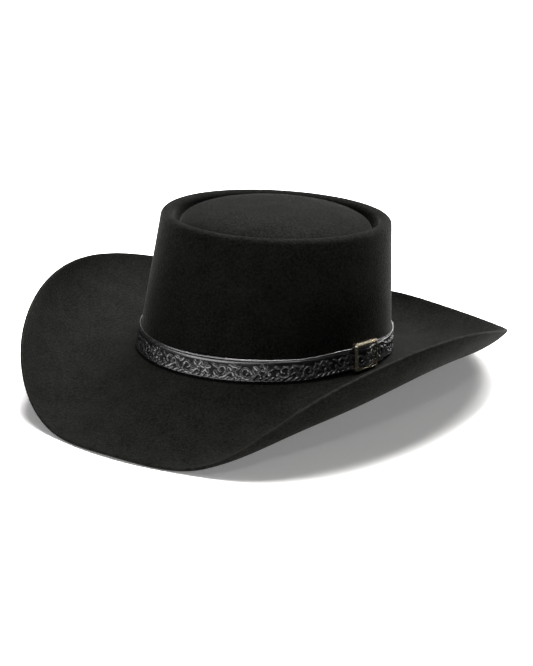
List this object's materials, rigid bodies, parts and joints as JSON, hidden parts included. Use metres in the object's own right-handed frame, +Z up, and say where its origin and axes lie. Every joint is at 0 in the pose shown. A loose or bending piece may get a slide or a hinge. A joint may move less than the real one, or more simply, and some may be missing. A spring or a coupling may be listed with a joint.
{
  "type": "cowboy hat",
  "caption": "Black felt hat with a ridged, domed flat-top crown, a brim rolled up at the sides, and an embossed leather band with a slide buckle.",
  "frame": {"origin": "on the surface the hat stands on, under the middle of its overall length and width", "axes": "+Z up, -Y to the front of the hat, +X to the wearer's left"},
  "size_m": [0.3571, 0.3884, 0.1419],
  "materials": {
    "black_felt": "brushed felt with a short nap",
    "embossed_leather": "glossy, embossed with scrolls",
    "pale_brass": "polished",
    "lining_satin": "satin",
    "clear_film": "clear film",
    "sweat_leather": "smooth roan leather",
    "tab_paper": "matte",
    "reed_plastic": "natural",
    "reed_tape_cloth": "woven tape",
    "bow_satin": "satin ribbon"
  },
  "bodies": {
    "hat": {"felt_body": "black_felt", "lining_side": "lining_satin", "lining_tip": "lining_satin", "tip_protector": "clear_film", "sweatband": "sweat_leather", "seam_patch": "sweat_leather", "size_tab": "tab_paper", "sweatband_reed": "reed_plastic", "reed_tape": "reed_tape_cloth", "bow_ribbon": "bow_satin", "bow_knot": "bow_satin"},
    "hatband": {"hatband_strap": "embossed_leather", "fold_rivets": "pale_brass"},
    "buckle": {"buckle_frame": "pale_brass", "buckle_bar": "pale_brass"}
  },
  "joints": [
    {"name": "hatband_lift", "type": "slide", "parent": "hat", "child": "hatband", "axis": [0, 0.0698, 0.9976], "range_m": [0, 0.12]},
    {"name": "buckle_rock", "type": "hinge", "parent": "hatband", "child": "buckle", "pos_m": [0.09729, -0.01119, 0.04294], "axis": [-0.0709, 0.0762, 0.9946], "range_deg": [-3, 3]}
  ]
}
